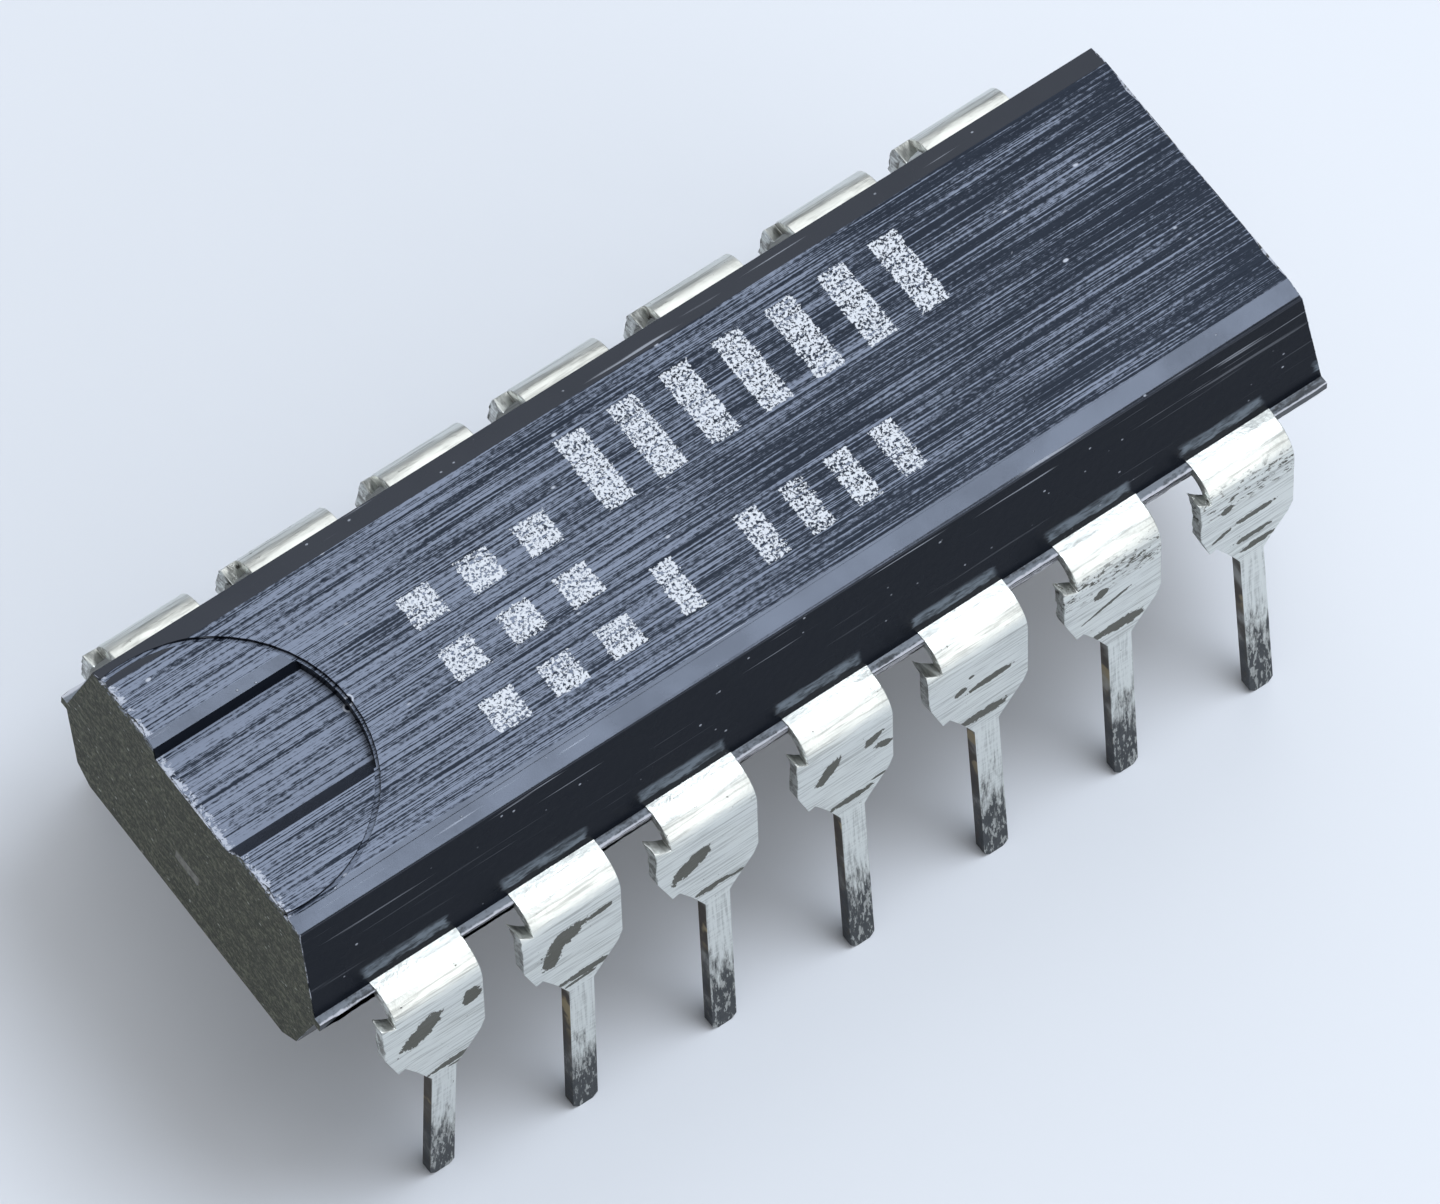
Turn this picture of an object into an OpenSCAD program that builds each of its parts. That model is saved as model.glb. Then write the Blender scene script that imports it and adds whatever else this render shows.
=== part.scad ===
// Plastic dual in-line integrated circuit with two rows of seven leads.
// X runs along the package from the notched end (-X) to the plain end (+X).
// Y runs across it, with leads 1 to 7 on the -Y side and 8 to 14 on the +Y side.
// Z is up and Z = 0 is the plane of the lead tips, on which the part stands.

/* [Package body] */
// Distance from the centre of an end lead to the body's end, at the parting plane
end_margin = 1.8; // [1.5:0.05:2.4]
// Distance from the body's side, at the parting plane, to where the leads start to bend
stand_off = 0.112; // [0.06:0.002:0.2]
// Height of the upper half above the parting plane
upper_h = 1.95; // [1.7:0.05:2.3]
// Height of the lower half below the parting plane
lower_h = 1.47; // [1.3:0.01:1.8]
// Draft of the long sides, from the vertical, in degrees
side_draft = 17; // [8:1:20]
// Outward lean of the end faces, from top to bottom, in degrees
end_lean = 3.2; // [0:0.2:6]
// Overhang of the moulded ledge between the leads
ledge_w = 0.12; // [0.05:0.01:0.2]
// Thickness of the moulded ledge between the leads
ledge_t = 0.18; // [0.1:0.02:0.2]

/* [Body edges] */
// Width of the shallow bevel along the top long edges
top_bevel_w = 0.38; // [0.2:0.02:0.5]
// Depth of the shallow bevel along the top long edges
top_bevel_d = 0.1; // [0.05:0.01:0.2]
// Width of the bevel along the bottom long edges
low_bevel_w = 0.35; // [0.2:0.01:0.5]
// Depth of the bevel along the bottom long edges
low_bevel_d = 0.25; // [0.1:0.01:0.4]

/* [Notch] */
// Width of the notch at the top face
notch_w = 2.42; // [1.6:0.02:2.8]
// Depth of the notch below the top face
notch_depth = 0.28; // [0.1:0.02:0.5]
// Run of the notch's sloping wall on the side of leads 1 to 7
notch_run_near = 0.3; // [0.1:0.01:0.4]
// Run of the notch's gentle lip on the side of leads 8 to 14
notch_lip_run = 0.19; // [0.1:0.01:0.3]
// Drop of that lip below the top face
notch_lip_drop = 0.055; // [0.03:0.005:0.08]
// Run of the steep wall from that lip to the notch's floor
notch_run_far = 0.07; // [0.02:0.01:0.2]
// Offset of the notch and the ring from the package's long axis
notch_off = 0.07; // [-0.2:0.01:0.2]
// Radius of the mould insert's ring, which also ends the notch
ring_r = 2.42; // [1.8:0.02:2.6]
// Distance from the end face to the ring's centre
ring_in = 0.4; // [0:0.05:0.8]
// Width of the ring's groove
ring_w = 0.09; // [0.05:0.01:0.15]
// Depth of the ring's groove
ring_d = 0.08; // [0.04:0.01:0.15]

/* [Ejector marks] */
// Diameter of the ejector marks on the underside
ejector_d = 1.9; // [1:0.1:2.5]
// Depth of the ejector marks on the underside
ejector_depth = 0.08; // [0.04:0.01:0.15]
// Distance of the ejector marks from the package's centre
ejector_x = 5.08; // [3:0.02:7]

/* [Leads] */
// Distance between neighbouring leads
pitch = 2.54; // [2.4:0.02:2.7]
// Distance between the two rows, measured where the leads leave their bends
row_span = 7.62; // [7.5:0.02:7.9]
// Thickness of the lead frame sheet
lead_t = 0.22; // [0.2:0.01:0.3]
// Width of a lead's shoulder
lead_w = 1.58; // [1.4:0.02:1.7]
// Width of a lead's leg
leg_w = 0.46; // [0.38:0.02:0.6]
// Inner radius of the bend
bend_r = 0.35; // [0.25:0.01:0.5]
// Outward splay of the shoulders from the vertical, in degrees
shoulder_splay = 5; // [2:1:10]
// Drop from the parting plane to the tips
tip_drop = 6; // [5.4:0.1:6.6]
// Drop from the parting plane to the lower corner of the shoulder
shoulder_drop = 1.6; // [1.4:0.05:1.8]
// Height of the taper from the shoulder to the leg
taper_h = 0.82; // [0.6:0.02:1]
// Chamfer at the tip of a leg
tip_chamfer = 0.1; // [0.05:0.01:0.14]

/* [Dam bar stubs] */
// How far the stub of the dam bar stands out from the shoulder's edge
stub_out = 0.26; // [0.1:0.02:0.4]
// Drop from the parting plane to the stub's upper corner
stub_drop = 0.16; // [0.1:0.02:0.3]
// Height of the stub's straight outer edge
stub_h = 0.88; // [0.6:0.02:1]

/* [Inside] */
// Length of the die paddle
paddle_len = 2.9; // [2.4:0.1:3.2]
// Distance across the package from the anchors to the ends of the inner fingers
finger_run = 1.04; // [0.8:0.02:1.3]
// Depth that the paddle and its tie bars lie below the leads
paddle_set = 0.24; // [0.23:0.01:0.35]
// Width of the paddle's tie bars
tie_w = 0.6; // [0.4:0.02:0.7]
// Offset of the tie bars from the package's long axis
tie_off = 0.05; // [-0.1:0.01:0.1]
// Margin of the paddle beyond the die's ends
die_end_margin = 0.5; // [0.3:0.05:0.7]
// Margin of the paddle beyond the die's sides
die_side_margin = 0.4; // [0.3:0.05:0.6]
// Thickness of the silicon die
die_t = 0.28; // [0.2:0.01:0.35]
// Thickness of the adhesive under the die
attach_t = 0.03; // [0.02:0.005:0.05]
// Gap between the paddle and the ends of the inner fingers
finger_gap = 0.25; // [0.2:0.01:0.35]
// Width of an inner finger where it leaves the anchor
finger_w = 0.7; // [0.5:0.02:0.8]
// Width of an inner finger at its end
finger_end_w = 0.26; // [0.2:0.01:0.3]
// Gap between the ends of neighbouring fingers, and between them and the tie bars
neighbour_gap = 0.13; // [0.1:0.01:0.16]
// Distance from the paddle's corner to the middle of the nearest side finger
finger_inset = 0.35; // [0.25:0.01:0.5]
// Length of the wide anchor inside the body
anchor_len = 0.8; // [0.6:0.05:1]
// Diameter of the hole through the anchor
anchor_hole_d = 0.5; // [0.3:0.05:0.6]
// Diameter of a bond wire
wire_d = 0.04; // [0.03:0.005:0.06]
// Diameter of the ball and of the stitch at a wire's ends
bond_d = 0.1; // [0.08:0.01:0.14]
// Height of the ball and of the stitch
bond_h = 0.03; // [0.02:0.005:0.05]
// Distance from the die's edge to the bond pads
pad_inset = 0.14; // [0.1:0.01:0.2]
// Distance from a finger's end to its bond
stitch_inset = 0.13; // [0.1:0.01:0.2]

/* [Hidden] */
$fn = 48;

resin = [0.13, 0.14, 0.16];
tinned = [0.78, 0.79, 0.78];
copper_alloy = [0.72, 0.70, 0.66];
silicon = [0.35, 0.37, 0.42];
adhesive = [0.45, 0.45, 0.42];
gold = [0.85, 0.68, 0.3];

// Spare length by which a cutting tool runs past the face that it cuts.
over = 0.5;

per_row = 7;
part_z = tip_drop;
top_z = part_z + upper_h;
bottom_z = part_z - lower_h;

// Bend of a lead, with y measured outwards from the package's long axis.
bend_mid = bend_r + lead_t / 2;
bend_turn = 90 - shoulder_splay;
bend_y = row_span / 2 - bend_mid * sin(bend_turn);
bend_end_y = row_span / 2;
bend_end_z = part_z - bend_mid * (1 - cos(bend_turn));

// Body at the parting plane, without the ledge, and at its top.
body_half = (per_row - 1) / 2 * pitch + end_margin;
body_w = 2 * (bend_y - stand_off);
top_half = body_half - upper_h * tan(end_lean);
ring_x = -top_half + ring_in;

// The leg starts with a slight kink a little way down the taper.
kink_drop = shoulder_drop + 0.7;
kink_z = part_z - kink_drop;
kink_y = bend_end_y + (bend_end_z - kink_z) * tan(shoulder_splay);
taper_end_z = part_z - shoulder_drop - taper_h;

// Leads 1 to 7 stand as handling has left them, and 8 to 14 have the usual splay.
leg_splay = [-0.5, 5, 7.3, 9, 7.7, 8.3, 9.4, 7.6, 8.4, 9.4, 7.8, 8.6, 7.4, 8.2];
leg_lean = [0.8, -0.7, -0.9, -0.6, 0.8, 0, 0.6, 0, 0.5, 0, -0.4, 0, 0.4, 0];

// A small steady variation from lead to lead, between -1 and 1.
function vary(i, k) = sin(137.5 * i + 61 * k);

// Centre of lead i along X, and the side of the package that it is on.
function lead_x(i) = (i <= per_row ? i - (per_row + 1) / 2 : 1.5 * per_row + 0.5 - i) * pitch;
function lead_side(i) = i <= per_row ? -1 : 1;

// Half widths of the body's cross-section at a height above the parting plane.
function side_at(h) = body_w / 2 - abs(h) * tan(side_draft);

function mirrored(points) = concat(points, [for (k = [len(points) - 1:-1:0]) [-points[k][0], points[k][1]]]);

// Cross-section of the moulded body, across the package.
module body_section() {
    low_side = lower_h - low_bevel_d;
    top_side = upper_h - top_bevel_d;
    polygon(mirrored([
        [side_at(low_side) - low_bevel_w, bottom_z],
        [side_at(low_side), part_z - low_side],
        [side_at(ledge_t / 2), part_z - ledge_t / 2],
        [body_w / 2 + ledge_w, part_z - ledge_t / 2],
        [body_w / 2 + ledge_w, part_z + ledge_t / 2],
        [side_at(ledge_t / 2), part_z + ledge_t / 2],
        [side_at(top_side), part_z + top_side],
        [side_at(top_side) - top_bevel_w, top_z]]));
}

// Long elevation of the moulded body, with both end faces leaning outwards.
module body_elevation() {
    polygon(mirrored([
        [body_half + lower_h * tan(end_lean), bottom_z],
        [top_half, top_z]]));
}

module moulded_block() {
    reach = body_half + lower_h;
    intersection() {
        translate([-reach, 0, 0]) rotate([90, 0, 90]) linear_extrude(2 * reach) body_section();
        translate([0, body_w, 0]) rotate([90, 0, 0]) linear_extrude(2 * body_w) body_elevation();
    }
}

// Shallow slot from the end face, closed by the wall of the mould insert's ring.
module notch() {
    floor_z = top_z - notch_depth;
    near = notch_off - notch_w / 2;
    far = notch_off + notch_w / 2;
    near_slope = notch_run_near / notch_depth;
    lip_slope = notch_lip_run / notch_lip_drop;
    intersection() {
        translate([ring_x - ring_r - over, 0, 0]) rotate([90, 0, 90]) linear_extrude(2 * (ring_r + over))
            polygon([
                [near + notch_run_near, floor_z], [far - notch_lip_run - notch_run_far, floor_z],
                [far - notch_lip_run, top_z - notch_lip_drop],
                [far + over * lip_slope, top_z + over], [near - over * near_slope, top_z + over]]);
        translate([ring_x, notch_off, floor_z - over]) cylinder(r = ring_r, h = notch_depth + 3 * over);
    }
}

module ring_groove() {
    translate([ring_x, notch_off, top_z - ring_d]) difference() {
        cylinder(r = ring_r + ring_w / 2, h = ring_d + over);
        translate([0, 0, -over]) cylinder(r = ring_r - ring_w / 2, h = ring_d + 3 * over);
    }
}

module ejector_marks() {
    for (side = [-1, 1])
        translate([side * ejector_x, 0, bottom_z - over]) cylinder(d = ejector_d, h = over + ejector_depth);
}

module package_body() {
    color(resin) difference() {
        moulded_block();
        notch();
        ring_groove();
        ejector_marks();
        for (i = [1:2 * per_row]) {
            lead(i);
            bond_wire(i);
        }
        paddle();
        attach();
        die();
    }
}

// Path of the bent strip, seen along the package: out, round the bend and down to the tip.
module strip_profile(i) {
    leg_len = (kink_z + over) / cos(leg_splay[i - 1]);
    shoulder_len = (bend_end_z - kink_z) / cos(shoulder_splay);
    translate([anchor_y, part_z - lead_t / 2]) square([bend_y - anchor_y + 0.01, lead_t]);
    translate([bend_y, part_z - bend_mid]) intersection() {
        difference() {
            circle(r = bend_r + lead_t);
            circle(r = bend_r);
        }
        polygon([[0, 0], [0, 3 * bend_mid], [3 * bend_mid, 3 * bend_mid],
                 3 * bend_mid * [sin(bend_turn), cos(bend_turn)]]);
    }
    translate([bend_end_y, bend_end_z]) rotate(shoulder_splay)
        translate([-lead_t / 2, -shoulder_len]) square([lead_t, shoulder_len + 0.01]);
    translate([kink_y, kink_z]) {
        circle(d = lead_t);
        rotate(leg_splay[i - 1]) translate([-lead_t / 2, -leg_len]) square([lead_t, leg_len]);
    }
}

// Front outline of a lead: shoulder, dam bar stub on its -X side, taper, leg and tip.
module front_outline(i) {
    half = lead_w / 2;
    leg = leg_w / 2;
    out = stub_out * (1 + 0.18 * vary(i, 1));
    stub_top = part_z - stub_drop + 0.04 * vary(i, 2);
    stub_low = stub_top - stub_h * (1 + 0.08 * vary(i, 3));
    lean = taper_end_z * tan(leg_lean[i - 1]);
    polygon([
        [-half, part_z + lead_t], [-half, stub_top - 0.12],
        [-half - out, stub_top], [-half - 0.96 * out, stub_low],
        [-half - 0.1 * out, part_z - shoulder_drop - 0.06], [-half + 0.1, part_z - shoulder_drop - 0.02],
        [-leg - 0.24, part_z - shoulder_drop - 0.45 * taper_h], [-leg, taper_end_z],
        [-leg + lean, tip_chamfer], [-leg + tip_chamfer + lean, 0],
        [leg - tip_chamfer + lean, 0], [leg + lean, tip_chamfer],
        [leg, taper_end_z], [half - 0.09, part_z - shoulder_drop - 0.22],
        [half, part_z - shoulder_drop], [half, part_z + lead_t]]);
}

// Y of the anchors' inner edge, of the line where the fingers start to fan in, and of their ends.
anchor_y = body_w / 2 - anchor_len;
fan_y = anchor_y - 0.3 * finger_run;
finger_end_y = anchor_y - finger_run;
paddle_w = 2 * (finger_end_y - finger_gap);

// End of finger i, as [x, y, runs across], with y measured outwards.
function finger_end(i) =
    let(
        step = lead_x(i) / pitch,
        from_tie = tie_w / 2 + abs(tie_off) + neighbour_gap + finger_end_w / 2,
        rank = abs(step) < 2.5 ? 1 : 0)
    abs(step) < 1.5 ? [step * (paddle_len / 2 - finger_inset), finger_end_y, false]
    : [sign(step) * (paddle_len / 2 + finger_gap), from_tie + rank * (finger_end_w + neighbour_gap), true];

// Plan outline of the anchor and of the finger that fans in to the paddle.
module finger_plan(i) {
    x = lead_x(i);
    e = finger_end(i);
    half = finger_end_w / 2;
    inner = e[2]
        ? (x < 0 ? [[e[0], e[1] + half], [e[0], e[1] - half]] : [[e[0], e[1] - half], [e[0], e[1] + half]])
        : [[e[0] + half, e[1]], [e[0] - half, e[1]]];
    difference() {
        polygon(concat(
            [[x - finger_w / 2, fan_y], [x - lead_w / 2, anchor_y],
             [x - lead_w / 2, bend_y], [x + lead_w / 2, bend_y],
             [x + lead_w / 2, anchor_y], [x + finger_w / 2, fan_y]],
            inner));
        translate([x, anchor_y + anchor_len / 2]) circle(d = anchor_hole_d);
    }
}

// One whole lead: inner finger, anchor, bend, shoulder and leg, stamped from one strip.
module lead(i) {
    mirror([0, i <= per_row ? 1 : 0, 0]) {
        translate([0, 0, part_z - lead_t / 2]) linear_extrude(lead_t) finger_plan(i);
        intersection() {
            translate([lead_x(i) - lead_w, 0, 0]) rotate([90, 0, 90]) linear_extrude(2 * lead_w)
                difference() {
                    strip_profile(i);
                    translate([0, part_z - lead_t]) square([body_w / 2 - anchor_hole_d / 4, 2 * lead_t]);
                }
            translate([lead_x(i), row_span, 0]) rotate([90, 0, 0]) linear_extrude(row_span) front_outline(i);
        }
    }
}

module pin(i) {
    color(tinned) lead(i);
}

paddle_z = part_z - paddle_set;

// Die paddle, with the tie bars that reach both end faces.
module paddle() {
    translate([0, 0, paddle_z - lead_t / 2]) intersection() {
        linear_extrude(lead_t) {
            square([paddle_len, paddle_w], center = true);
            translate([0, tie_off]) square([2 * (body_half + over), tie_w], center = true);
        }
        translate([0, body_w, lead_t / 2 - paddle_z]) rotate([90, 0, 0]) linear_extrude(2 * body_w)
            body_elevation();
    }
}

module die_paddle() {
    color(copper_alloy) paddle();
}

attach_z = paddle_z + lead_t / 2;
die_len = paddle_len - 2 * die_end_margin;
die_w = paddle_w - 2 * die_side_margin;

module attach() {
    translate([-die_len / 2, -die_w / 2, attach_z]) cube([die_len, die_w, attach_t]);
}

module die_attach() {
    color(adhesive) attach();
}

die_z = attach_z + attach_t;

module die() {
    translate([-die_len / 2, -die_w / 2, die_z]) cube([die_len, die_w, die_t]);
}

module silicon_die() {
    color(silicon) die();
}

// Collar by which a wire's end joins its ball or stitch.
collar_d = (wire_d + bond_d) / 2;

// Bond pad on the die and stitch on the finger for wire i, with y measured outwards.
function pad(i) =
    let(e = finger_end(i), px = die_len / 2 - pad_inset, py = die_w / 2 - pad_inset)
    e[2] ? [sign(e[0]) * px, min(py, e[1] * py / (paddle_w / 2))] : [e[0] * px / (paddle_len / 2), py];
function stitch(i) =
    let(e = finger_end(i))
    e[2] ? [e[0] + sign(e[0]) * stitch_inset, e[1] + stitch_inset / 3]
    : [e[0] + stitch_inset * (lead_x(i) - e[0]) / (fan_y - e[1]), e[1] + stitch_inset];

// A half-round loop whose ends stand in the collars of the ball and of the stitch.
module wire(i) {
    from = pad(i);
    to = stitch(i);
    run = norm(to - from);
    die_top = die_z + die_t;
    finger_top = part_z + lead_t / 2;
    loop_z = max(die_top, finger_top) + bond_h;
    mirror([0, i <= per_row ? 1 : 0, 0]) {
        translate([from[0], from[1], die_top]) {
            cylinder(d = bond_d, h = bond_h);
            cylinder(d = collar_d, h = loop_z + bond_h - die_top);
        }
        translate([to[0], to[1], finger_top]) {
            cylinder(d = bond_d, h = bond_h);
            cylinder(d = collar_d, h = loop_z + bond_h - finger_top);
        }
        translate([(from[0] + to[0]) / 2, (from[1] + to[1]) / 2, loop_z])
            rotate([0, 0, atan2(to[1] - from[1], to[0] - from[0])]) rotate([90, 0, 0])
                rotate_extrude(angle = 180) translate([run / 2, 0]) circle(d = wire_d);
    }
}

module bond_wire(i) {
    color(gold) wire(i);
}

package_body();
pin(1);  // pin_01
pin(2);  // pin_02
pin(3);  // pin_03
pin(4);  // pin_04
pin(5);  // pin_05
pin(6);  // pin_06
pin(7);  // pin_07
pin(8);  // pin_08
pin(9);  // pin_09
pin(10);  // pin_10
pin(11);  // pin_11
pin(12);  // pin_12
pin(13);  // pin_13
pin(14);  // pin_14
die_paddle();
die_attach();
silicon_die();
bond_wire(1);  // bond_wire_01
bond_wire(2);  // bond_wire_02
bond_wire(3);  // bond_wire_03
bond_wire(4);  // bond_wire_04
bond_wire(5);  // bond_wire_05
bond_wire(6);  // bond_wire_06
bond_wire(7);  // bond_wire_07
bond_wire(8);  // bond_wire_08
bond_wire(9);  // bond_wire_09
bond_wire(10);  // bond_wire_10
bond_wire(11);  // bond_wire_11
bond_wire(12);  // bond_wire_12
bond_wire(13);  // bond_wire_13
bond_wire(14);  // bond_wire_14
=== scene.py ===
"""Dresses a moulded dual in-line chip that stands on its fourteen leads.

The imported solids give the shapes. This script rounds their edges, breaks the torn
ones, adds a plain marking, and gives each surface its finish.
"""

import logging
import math
from collections.abc import Callable, Iterable
from dataclasses import dataclass, field
from enum import Enum, IntEnum

import bmesh
import bpy
from mathutils import Matrix, Vector, noise


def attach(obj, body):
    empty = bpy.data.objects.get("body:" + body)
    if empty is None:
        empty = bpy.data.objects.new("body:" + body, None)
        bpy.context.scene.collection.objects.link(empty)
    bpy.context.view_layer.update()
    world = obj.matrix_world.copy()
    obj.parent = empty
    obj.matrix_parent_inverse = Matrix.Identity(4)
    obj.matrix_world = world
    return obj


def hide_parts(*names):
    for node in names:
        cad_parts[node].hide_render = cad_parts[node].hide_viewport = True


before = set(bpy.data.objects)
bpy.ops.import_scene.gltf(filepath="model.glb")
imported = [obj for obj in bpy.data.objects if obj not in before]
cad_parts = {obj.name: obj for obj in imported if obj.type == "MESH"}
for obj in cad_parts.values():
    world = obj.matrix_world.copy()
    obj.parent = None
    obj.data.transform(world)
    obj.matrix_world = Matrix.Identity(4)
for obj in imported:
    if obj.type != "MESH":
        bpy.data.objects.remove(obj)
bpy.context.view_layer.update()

logging.basicConfig(level=logging.INFO, format="%(name)s: %(message)s")
log = logging.getLogger("chip")

MM = 0.001
PARTING_Z = 6.0
TOP_Z = 7.95
BOTTOM_Z = 4.53
PITCH = 2.54
PER_ROW = 7

WELD_DISTANCE = 0.0005
FLAT_ANGLE = 0.8
CRISP_ANGLE = 42.0
ROUND_SEGMENTS = 3

Colour = tuple[float, float, float]
Socket = bpy.types.NodeSocket


class Side(Enum):
    """The two rows of leads, by the sign of Y that they stand on."""

    NEAR = -1
    FAR = 1


class Slot(Enum):
    """The record's material slots that the script's own pieces take."""

    RESIN = "moulding_resin"
    LEAD = "tinned_lead"


class Skin(IntEnum):
    """The body's finishes, by their place in its list of materials."""

    GROUND = 0
    MOULDED = 1
    CUT = 2
    LEDGE = 3
    CHIPPED = 4


class Sheet:
    """A material's node tree, with one short call for each kind of node used here."""

    def __init__(self, name: str) -> None:
        """Starts an empty material with a principled shader.

        Args:
            name: The material's name.
        """
        self.material = bpy.data.materials.new(name)
        self.material.use_nodes = True
        self.tree = self.material.node_tree
        self.tree.nodes.clear()
        output = self.tree.nodes.new("ShaderNodeOutputMaterial")
        self.shader = self.tree.nodes.new("ShaderNodeBsdfPrincipled")
        self.tree.links.new(self.shader.outputs["BSDF"], output.inputs["Surface"])
        self.here = self.tree.nodes.new("ShaderNodeTexCoord").outputs["Object"]

    def _feed(self, socket: Socket, value: "Socket | float | tuple") -> None:
        """Links a socket, or sets its own value.

        Args:
            socket: The input to fill.
            value: Another node's output, or a plain value.
        """
        if isinstance(value, bpy.types.NodeSocket):
            self.tree.links.new(value, socket)
        else:
            socket.default_value = value

    def set(self, name: str, value: "Socket | float | tuple") -> None:
        """Sets one of the shader's inputs.

        Args:
            name: The input's name.
            value: A node's output, or a plain value.
        """
        self._feed(self.shader.inputs[name], value)

    def place(
        self,
        per_mm: tuple[float, float, float] = (1.0, 1.0, 1.0),
        turn: tuple[float, float, float] = (0.0, 0.0, 0.0),
    ) -> Socket:
        """Gives object coordinates in millimetres, stretched and turned.

        Args:
            per_mm: How many pattern units go to a millimetre on each axis.
            turn: The pattern's turn about each axis, in degrees.

        Returns:
            The vector output.
        """
        node = self.tree.nodes.new("ShaderNodeMapping")
        node.vector_type = "POINT"
        self.tree.links.new(self.here, node.inputs["Vector"])
        node.inputs["Rotation"].default_value = [math.radians(a) for a in turn]
        node.inputs["Scale"].default_value = [value / MM for value in per_mm]
        return node.outputs["Vector"]

    def around(
        self, centre: tuple[float, float, float], radii: tuple[float, float, float], turn_y: float
    ) -> Socket:
        """Gives coordinates in which an ellipsoid at a place has a radius of one.

        Args:
            centre: The ellipsoid's centre, in millimetres.
            radii: Its radii, in millimetres.
            turn_y: Its turn about the Y axis, in degrees.

        Returns:
            The vector output.
        """
        node = self.tree.nodes.new("ShaderNodeMapping")
        node.vector_type = "TEXTURE"
        self.tree.links.new(self.here, node.inputs["Vector"])
        node.inputs["Location"].default_value = [value * MM for value in centre]
        node.inputs["Rotation"].default_value = (0.0, math.radians(turn_y), 0.0)
        node.inputs["Scale"].default_value = [value * MM for value in radii]
        return node.outputs["Vector"]

    def length(self, vector: Socket) -> Socket:
        """Gives a vector's length.

        Args:
            vector: The vector.

        Returns:
            The value output.
        """
        node = self.tree.nodes.new("ShaderNodeVectorMath")
        node.operation = "LENGTH"
        self.tree.links.new(vector, node.inputs[0])
        return node.outputs["Value"]

    def axis(self, name: str) -> Socket:
        """Gives one object coordinate.

        Args:
            name: The axis's letter.

        Returns:
            The value output, in millimetres.
        """
        node = self.tree.nodes.new("ShaderNodeSeparateXYZ")
        self.tree.links.new(self.place(), node.inputs[0])
        return node.outputs[name]

    def facing(self, name: str) -> Socket:
        """Gives one component of the surface's true normal.

        Args:
            name: The axis's letter.

        Returns:
            The value output.
        """
        geometry = self.tree.nodes.new("ShaderNodeNewGeometry")
        node = self.tree.nodes.new("ShaderNodeSeparateXYZ")
        self.tree.links.new(geometry.outputs["True Normal"], node.inputs[0])
        return node.outputs[name]

    def attribute(self, name: str) -> Socket:
        """Gives a mesh attribute's value.

        Args:
            name: The attribute's name.

        Returns:
            The value output.
        """
        node = self.tree.nodes.new("ShaderNodeAttribute")
        node.attribute_name = name
        return node.outputs["Fac"]

    def noise(self, vector: Socket, scale: float, detail: float = 2.0, rough: float = 0.5) -> Socket:
        """Gives fractal noise between about 0 and 1.

        Args:
            vector: The coordinates.
            scale: Features for each unit of the coordinates.
            detail: Octaves.
            rough: How strong the finer octaves are.

        Returns:
            The value output.
        """
        node = self.tree.nodes.new("ShaderNodeTexNoise")
        self.tree.links.new(vector, node.inputs["Vector"])
        node.inputs["Scale"].default_value = scale
        node.inputs["Detail"].default_value = detail
        node.inputs["Roughness"].default_value = rough
        return node.outputs["Fac"]

    def cells(self, vector: Socket) -> Socket:
        """Gives the distance to the nearest of many scattered points.

        Args:
            vector: The coordinates, with about one point to each unit.

        Returns:
            The distance output.
        """
        node = self.tree.nodes.new("ShaderNodeTexVoronoi")
        self.tree.links.new(vector, node.inputs["Vector"])
        node.inputs["Scale"].default_value = 1.0
        return node.outputs["Distance"]

    def calc(self, operation: str, a: "Socket | float", b: "Socket | float" = 0.0) -> Socket:
        """Does one sum on one or two values.

        Args:
            operation: The math node's operation.
            a: The first value.
            b: The second value.

        Returns:
            The value output.
        """
        node = self.tree.nodes.new("ShaderNodeMath")
        node.operation = operation
        self._feed(node.inputs[0], a)
        self._feed(node.inputs[1], b)
        return node.outputs["Value"]

    def plus(self, value: Socket, other: Socket, share: float) -> Socket:
        """Adds a share of another value to a value.

        Args:
            value: The value.
            other: The value that is added.
            share: How much of it is added.

        Returns:
            The sum.
        """
        return self.calc("ADD", value, self.calc("MULTIPLY", other, share))

    def both(self, a: Socket, b: Socket) -> Socket:
        """Multiplies two masks, which leaves what both cover.

        Args:
            a: The first mask.
            b: The second mask.

        Returns:
            The product.
        """
        return self.calc("MULTIPLY", a, b)

    def band(self, value: Socket, start: float, end: float, low: float = 0.0, high: float = 1.0) -> Socket:
        """Runs smoothly from one value to another while the input crosses a band.

        Args:
            value: The input.
            start: The band's first edge, where the answer is low.
            end: The band's second edge, where the answer is high.
            low: The answer before the band.
            high: The answer after it.

        Returns:
            The value output.
        """
        node = self.tree.nodes.new("ShaderNodeMapRange")
        node.interpolation_type = "SMOOTHSTEP"
        self.tree.links.new(value, node.inputs["Value"])
        flip = start > end
        node.inputs["From Min"].default_value = end if flip else start
        node.inputs["From Max"].default_value = start if flip else end
        node.inputs["To Min"].default_value = high if flip else low
        node.inputs["To Max"].default_value = low if flip else high
        return node.outputs["Result"]

    def blend(self, factor: "Socket | float", a: "Socket | Colour", b: "Socket | Colour") -> Socket:
        """Mixes two colours.

        Args:
            factor: How much of the second colour shows.
            a: The first colour.
            b: The second colour.

        Returns:
            The colour output.
        """
        node = self.tree.nodes.new("ShaderNodeMix")
        node.data_type = "RGBA"
        self._feed(node.inputs["Factor"], factor)
        for name, value in (("A", a), ("B", b)):
            socket = next(s for s in node.inputs if s.name == name and s.type == "RGBA")
            self._feed(socket, value if isinstance(value, bpy.types.NodeSocket) else (*value, 1.0))
        return next(s for s in node.outputs if s.type == "RGBA")

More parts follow.
